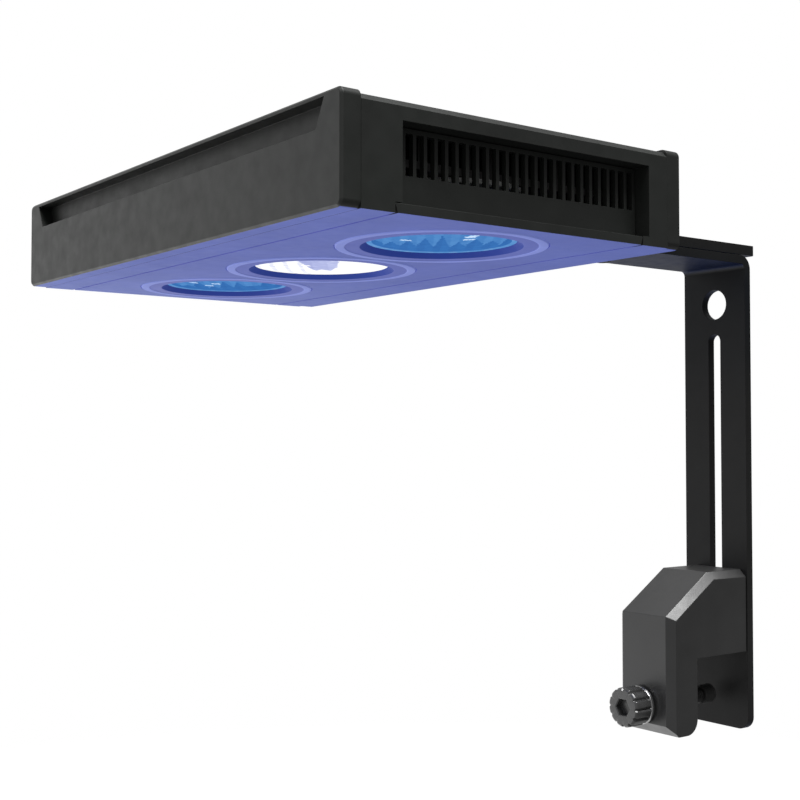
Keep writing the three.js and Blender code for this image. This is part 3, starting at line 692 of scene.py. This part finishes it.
def build_inside():
    """Inside the head, the fan is refined and the rest keep their CAD shapes."""
    for number in CLUSTERS:
        paint(f"reflector_{number}", MIRROR)
        paint(f"led_board_{number}", BOARD)
    paint("heat_sink", BARE_ALUMINIUM)
    paint("driver_board", CIRCUIT)
    refined("fan_frame", INNER_PLASTIC)
    refined("fan_impeller", INNER_PLASTIC)


def paint(node, material):
    """Gives a CAD node that stays in the scene its finish."""
    mesh = frame["nodes"][node].data
    mesh.materials.clear()
    mesh.materials.append(material)


# ---------------------------------------------------------------- fasteners


def cap_screw(node, head_radius, head_height, shank_radius, vertical):
    """Cap screw with a knurled head, a hexagon socket and a rounded shank end."""
    low, high, middle = span(node)
    if vertical:
        long, place = high.z - low.z, along_z(middle.x, middle.y, low.z)
    else:
        long, place = high.x - low.x, along_x(low.x, middle.y, middle.z)
    top = long / MM
    neck = top - head_height
    socket = 0.52 * head_radius
    outline = eased(
        [
            (0, 0, 0),
            (shank_radius, 0, 0.4),
            (shank_radius, neck, 0.1),
            (head_radius, neck, 0.15),
            (head_radius, top - 0.5, 0.1),
            (head_radius - 0.5, top, 0.15),
            (socket * 1.12, top, 0.05),
            (socket, top - 0.35, 0.05),
            (socket, top - 0.55 * head_height, 0.05),
            (0, top - 0.62 * head_height, 0),
        ]
    )

    def form(angle, radius, height):
        if radius < socket * 1.15 and height > neck + 0.1:
            return hexagon(angle, radius * 1.08)
        knurl = radius > head_radius - 0.1 and neck + 0.3 < height < top - 0.3
        return radius - 0.1 * abs(math.sin(20 * angle)) if knurl else radius

    mesh = turned(node, outline, place, 120, shape=form)
    sharpen(stand_for(mesh, node, BLACK_STEEL))


def hex_nut(node, bore):
    """Hexagon nut with chamfered corners."""
    low, high, middle = span(node)
    tall = (high.z - low.z) / MM
    corner = (high.x - low.x) / 2 / MM
    flat = corner * math.cos(math.pi / 6)
    outline = [
        (bore + 0.3, 0.0),
        (flat - 0.1, 0.0),
        (corner, 0.45),
        (corner, tall - 0.45),
        (flat - 0.1, tall),
        (bore + 0.3, tall),
        (bore, tall - 0.3),
        (bore, 0.3),
    ]

    def form(angle, radius, height):
        return hexagon(angle, radius) if radius > flat else radius

    place = along_z(middle.x, middle.y, low.z)
    mesh = turned(node, outline, place, 96, closed=True, shape=form)
    sharpen(stand_for(mesh, node, BLACK_STEEL), 25)


def threaded_rod(node, radius, pitch, tip_radius=None, tip_length=0.0):
    """Rod along X with a rolled thread, and a plain turned tip where it has one."""
    low, high, middle = span(node)
    thread_end = (high.x - low.x) / MM - tip_length
    depth = 0.55 * pitch
    rings = [(0, 0.0), (radius - depth, 0.0)]
    count = int(thread_end / pitch * 6)
    rings += [(radius, 0.4 + (thread_end - 0.8) * i / count) for i in range(count + 1)]
    rings.append((radius - depth, thread_end))
    if tip_radius:
        last = thread_end + tip_length
        rings += [(tip_radius, thread_end), (tip_radius, last - 0.4), (tip_radius - 0.4, last)]
        rings.append((0, last))
    else:
        rings.append((0, thread_end))

    def thread(angle, r, height):
        if r < radius:
            return r
        wave = 0.5 - 0.5 * math.cos(math.tau * height / pitch - angle)
        return radius - depth * wave

    mesh = turned(node, rings, along_x(low.x, middle.y, middle.z), 48, shape=thread)
    sharpen(stand_for(mesh, node, BLACK_STEEL), 60)


# ---------------------------------------------------------------- arm and clamp

FLUTES = 12
# Screws: head radius, head height and shank radius. Threads: radius and pitch. Millimetres.
BLOCK_SCREW = (3.5, 4.0, 2.0)
ARM_SCREW = (4.4, 3.2, 2.5)
NUT_BORE = 2.8
CLAMP_THREAD = (4.0, 1.25)
LOCK_THREAD = (3.0, 1.0)


def build_arm():
    """The arm's three metal parts with their screws and nuts."""
    for node in ("mounting_block", "extension_arm", "drop_arm"):
        refined(node, ARM_COAT_PAINTED_LIGHT)
    for number in (1, 2, 3, 4):
        cap_screw(f"block_screw_{number}", *BLOCK_SCREW, vertical=False)
        cap_screw(f"arm_screw_{number}", *ARM_SCREW, vertical=True)
    for number in (1, 2):
        hex_nut(f"arm_nut_{number}", NUT_BORE)


def fluted(angle, radius, start, width, depth, narrow):
    """The radius of a grip whose notches begin at radius start and deepen over width."""
    rise = min(1.0, max(0.0, (radius - start) / width))
    return radius - depth * max(0.0, math.cos(FLUTES * angle)) ** narrow * rise


def build_screw_knob():
    """Clamp knob: fluted grip with rounded rims and a hexagon socket, on a polished collar."""
    node = "screw_knob"
    low, high, middle = span(node)
    deep = (high.x - low.x) / MM
    grip, bore = (high.y - low.y) / 2 / MM, 4.4
    outline = eased(
        [
            (0, 3.6, 0),
            (4.0, 3.4, 0.1),
            (4.0, 0.4, 0.1),
            (4.5, 0.0, 0.1),
            (grip - 0.9, 0.0, 0.3),
            (grip, 0.9, 0.5),
            (grip, deep - 2.6, 0.3),
            (grip - 0.6, deep - 1.6, 0.3),
            (bore, deep - 1.6, 0.2),
            (bore, deep - 4.8, 0.1),
            (0, deep - 5.0, 0),
        ],
        5,
    )

    def form(angle, radius, height):
        if radius < 4.6 and height < deep / 2:
            return hexagon(angle, radius * 1.05)
        return fluted(angle, radius, grip - 1.5, 0.9, 0.95, 2.5)

    place = along_x(low.x, middle.y, middle.z)
    mesh = turned(node, outline, place, 288, shape=form)
    sharpen(stand_for(mesh, node, KNOB), 40)
    collar = eased(
        [
            (bore, deep - 1.6, 0.1),
            (grip - 0.3, deep - 1.6, 0.2),
            (grip - 0.1, deep - 0.2, 0.2),
            (bore, deep, 0.1),
        ]
    )
    mesh = turned(f"{node}_collar", collar, place, 96, closed=True)
    piece = sharpen(stand_for(mesh, node, POLISHED))
    piece.name = "screw_knob_collar"


def build_lock_knob():
    """Height-lock knob: a low fluted disc with soft rims."""
    node = "lock_knob"
    low, high, middle = span(node)
    deep = (high.x - low.x) / MM
    grip = (high.y - low.y) / 2 / MM
    outline = eased(
        [
            (0, deep - 2.0, 0),
            (3.3, deep - 2.0, 0.1),
            (3.3, 0.0, 0.2),
            (grip - 0.8, 0.0, 0.2),
            (grip, 0.8, 0.4),
            (grip, deep - 1.2, 0.5),
            (grip - 1.2, deep, 0.5),
            (5.0, deep, 0.3),
            (4.4, deep - 0.5, 0.3),
            (0, deep - 0.5, 0),
        ],
        5,
    )

    def form(angle, radius, height):
        return fluted(angle, radius, grip - 1.6, 0.8, 0.9, 1.3)

    mesh = turned(node, outline, along_x(low.x, middle.y, middle.z), 240, shape=form)
    sharpen(stand_for(mesh, node, KNOB), 50)


def build_washer():
    """Plain washer with eased edges."""
    node = "lock_washer"
    low, high, middle = span(node)
    thick = (high.x - low.x) / MM
    outline = eased([(3.3, 0, 0.15), (8.0, 0, 0.2), (8.0, thick, 0.35), (3.3, thick, 0.15)])
    mesh = turned(node, outline, along_x(low.x, middle.y, middle.z), closed=True)
    sharpen(stand_for(mesh, node, BLACK_STEEL))


def build_pad():
    """Swivel pad: a rubber boot that turns on the clamp screw's pin."""
    node = "swivel_pad"
    low, high, middle = span(node)
    deep = (high.x - low.x) / MM
    outside = (high.y - low.y) / 2 / MM
    outline = eased(
        [
            (0, 5.2, 0),
            (2.7, 5.2, 0.1),
            (2.7, 0.0, 0.2),
            (outside - 0.2, 0.0, 0.35),
            (outside - 0.2, deep - 1.6, 0.1),
            (outside, deep - 1.2, 0.1),
            (outside, deep, 0.45),
            (0, deep, 0),
        ]
    )
    mesh = turned(node, outline, along_x(low.x, middle.y, middle.z))
    sharpen(stand_for(mesh, node, RUBBER))


def build_clamp():
    """The clamp body with its guide key, screw, pad and height lock."""
    refined("clamp_body", CLAMP_COAT)
    refined("guide_key", INNER_PLASTIC)
    threaded_rod("clamp_screw", *CLAMP_THREAD, tip_radius=2.4, tip_length=5.0)
    threaded_rod("lock_stud", *LOCK_THREAD)
    build_screw_knob()
    build_lock_knob()
    build_washer()
    build_pad()


# ---------------------------------------------------------------- studio

CAMERA_PLACE = (-0.4936, -0.4243, 0.1011)
CAMERA_AZIMUTH = 36.67  # from +Y towards +X
CAMERA_RISE = 1.875  # above level
CAMERA_LENS = 58.31
FLOOR_X, FLOOR_Z = -0.12, -0.22
FLOOR_RADIUS = 0.95


def build_camera():
    """The photo's viewpoint, solved from the straight edges of the head, arm and clamp."""
    lens = bpy.data.cameras.new("camera")
    lens.lens = CAMERA_LENS
    lens.sensor_width = 36.0
    lens.clip_start = 0.01
    camera = bpy.data.objects.new("camera", lens)
    camera.location = CAMERA_PLACE
    camera.rotation_euler = (
        math.radians(90 + CAMERA_RISE),
        0.0,
        math.radians(-CAMERA_AZIMUTH),
    )
    bpy.context.scene.collection.objects.link(camera)
    bpy.context.scene.camera = camera


def build_floor():
    """A round pale floor that fades out into the white surroundings."""
    mesh = turned("floor", [(0, 0), (FLOOR_RADIUS / MM, 0)], along_z(FLOOR_X, 0.0, FLOOR_Z))
    floor = bpy.data.objects.new("floor", mesh)
    bpy.context.scene.collection.objects.link(floor)
    finish = Finish("pale_floor")
    from_middle = finish.add("ShaderNodeVectorMath", operation="LENGTH")
    shifted = finish.add("ShaderNodeVectorMath", operation="ADD")
    shifted.inputs[1].default_value = (-FLOOR_X, 0.0, -FLOOR_Z)
    finish.link(finish.place, shifted.inputs[0])
    finish.link(shifted.outputs["Vector"], from_middle.inputs[0])
    finish.connect(
        Base_Color=finish.ramp(finish.noise(6.0), (0.3, grey(0.86)), (0.7, grey(0.89))),
        Alpha=finish.spread(
            from_middle.outputs["Value"], 0.4 * FLOOR_RADIUS, 0.98 * FLOOR_RADIUS, 1.0, 0.0
        ),
    )
    finish.fix(Roughness=0.8, Specular_IOR_Level=0.2)
    mesh.materials.append(finish.material)
    floor.visible_diffuse = False
    floor.visible_glossy = False


# Soft boxes round the object: the direction they shine from, the cosines at which each
# starts and is full, and its brightness.
SOFT_BOXES = (
    ((0.0, -0.30, 0.954), 0.885, 0.975, 15.0),
    ((-0.62, 0.78, 0.05), 0.50, 0.95, 0.70),
    ((-0.85, -0.50, 0.10), 0.75, 0.95, 0.35),
    ((0.25, 0.85, 0.45), 0.70, 0.95, 0.45),
    ((0.0, 0.80, -0.59), 0.70, 0.95, 1.2),
    ((-0.2, 0.30, -0.93), -0.1, 0.9, 0.35),
)
ROOM = 0.18  # brightness of the dim room between them


def build_world():
    """White to the eye. What lights the object is a dim room, a pale floor and soft boxes."""
    world = bpy.data.worlds.new("studio")
    bpy.context.scene.world = world
    world.use_nodes = True
    tree = world.node_tree
    background = tree.nodes["Background"]
    output = tree.nodes["World Output"]

    def add(kind, **settings):
        node = tree.nodes.new(kind)
        for name, value in settings.items():
            setattr(node, name, value)
        return node

    def summed(a, b):
        node = add("ShaderNodeMath", operation="ADD")
        for socket, value in zip(node.inputs, (a, b)):
            if isinstance(value, float):
                socket.default_value = value
            else:
                tree.links.new(value, socket)
        return node.outputs["Value"]

    def facing(direction, start, full, strength):
        """Smoothly from 0 where the direction's cosine is start, to strength where full."""
        cosine = add("ShaderNodeVectorMath", operation="DOT_PRODUCT")
        cosine.inputs[1].default_value = Vector(direction).normalized()
        tree.links.new(sky.outputs["Generated"], cosine.inputs[0])
        fade = add("ShaderNodeMapRange", interpolation_type="SMOOTHSTEP")
        fade.inputs["From Min"].default_value = start
        fade.inputs["From Max"].default_value = full
        fade.inputs["To Max"].default_value = strength
        tree.links.new(cosine.outputs["Value"], fade.inputs["Value"])
        return fade.outputs["Result"]

    sky = add("ShaderNodeTexCoord")
    total = ROOM
    for box in SOFT_BOXES:
        total = summed(facing(*box), total)
    tree.links.new(total, background.inputs["Strength"])
    white = add("ShaderNodeBackground")
    white.inputs["Color"].default_value = (1, 1, 1, 1)
    background.inputs["Color"].default_value = (1, 1, 1, 1)
    path = add("ShaderNodeLightPath")
    choose = add("ShaderNodeMixShader")
    tree.links.new(path.outputs["Is Camera Ray"], choose.inputs["Fac"])
    tree.links.new(background.outputs["Background"], choose.inputs[1])
    tree.links.new(white.outputs["Background"], choose.inputs[2])
    tree.links.new(choose.outputs["Shader"], output.inputs["Surface"])


# ---------------------------------------------------------------- scene

build_camera()
build_world()
build_floor()
build_housing()
for cluster in CLUSTERS:
    build_trim_ring(cluster)
    build_cover_lens(cluster)
build_inlet()
build_inside()
build_arm()
build_clamp()

view = bpy.context.scene.view_settings
view.view_transform = "Standard"
view.look = "None"
